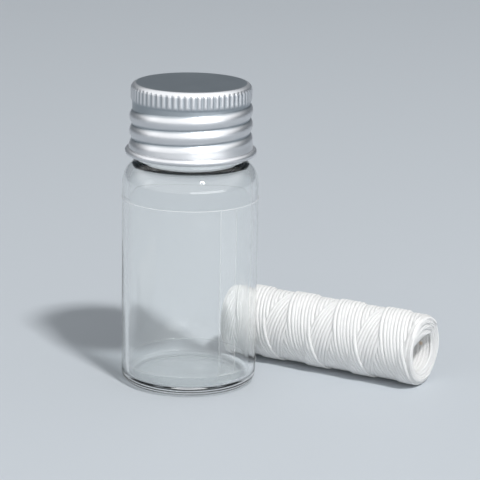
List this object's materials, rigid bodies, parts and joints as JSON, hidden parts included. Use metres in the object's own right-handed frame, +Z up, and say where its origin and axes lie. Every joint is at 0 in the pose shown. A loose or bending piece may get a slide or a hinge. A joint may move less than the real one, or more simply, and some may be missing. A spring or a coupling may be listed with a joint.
{
  "type": "dental floss dispenser",
  "caption": "Clear glass vial with an aluminium screw cap over a lip plug and cutting blade, with its coreless refill roll of floss lying beside it.",
  "frame": {"origin": "centre of the vial's foot, on the surface that it stands on", "axes": "+Z up along the vial, -Y towards the front, +X to the right, where the refill roll lies"},
  "size_m": [0.0524, 0.031, 0.0494],
  "materials": {
    "clear_glass": "clear, fire polished",
    "clear_film": "clear film, blank",
    "natural_plastic": "natural polyethylene",
    "blade_steel": "stamped stainless sheet",
    "liner_foam": "expanded polyethylene",
    "satin_aluminium": "satin, clear lacquered",
    "floss": "waxed white thread"
  },
  "bodies": {
    "vial": {"glass_vial": "clear_glass", "clear_label": "clear_film", "mouth_plug": "natural_plastic", "floss_cutter": "blade_steel"},
    "liner": {"cap_liner": "liner_foam"},
    "cap": {"screw_cap": "satin_aluminium"},
    "floss_roll": {"floss_inner_layers": "floss", "floss_outer_winding": "floss"}
  },
  "joints": [
    {"name": "cap_lift", "type": "slide", "parent": "vial", "child": "liner", "axis": [0, 0, 1], "range_m": [0, 0.01175]},
    {"name": "cap_turn", "type": "hinge", "parent": "liner", "child": "cap", "pos_m": [0, 0, 0.04], "axis": [0, 0, 1], "range_deg": [0, 1800]},
    {"name": "roll_turn", "type": "hinge", "parent": "vial", "child": "floss_roll", "pos_m": [0.02364, 0.00614, 0.00605], "axis": [0.8572, -0.515, 0], "continuous": true}
  ],
  "couplings": [
    {"joint": "cap_lift", "follows": "cap_turn", "m_per_rad": 0.00037401}
  ]
}
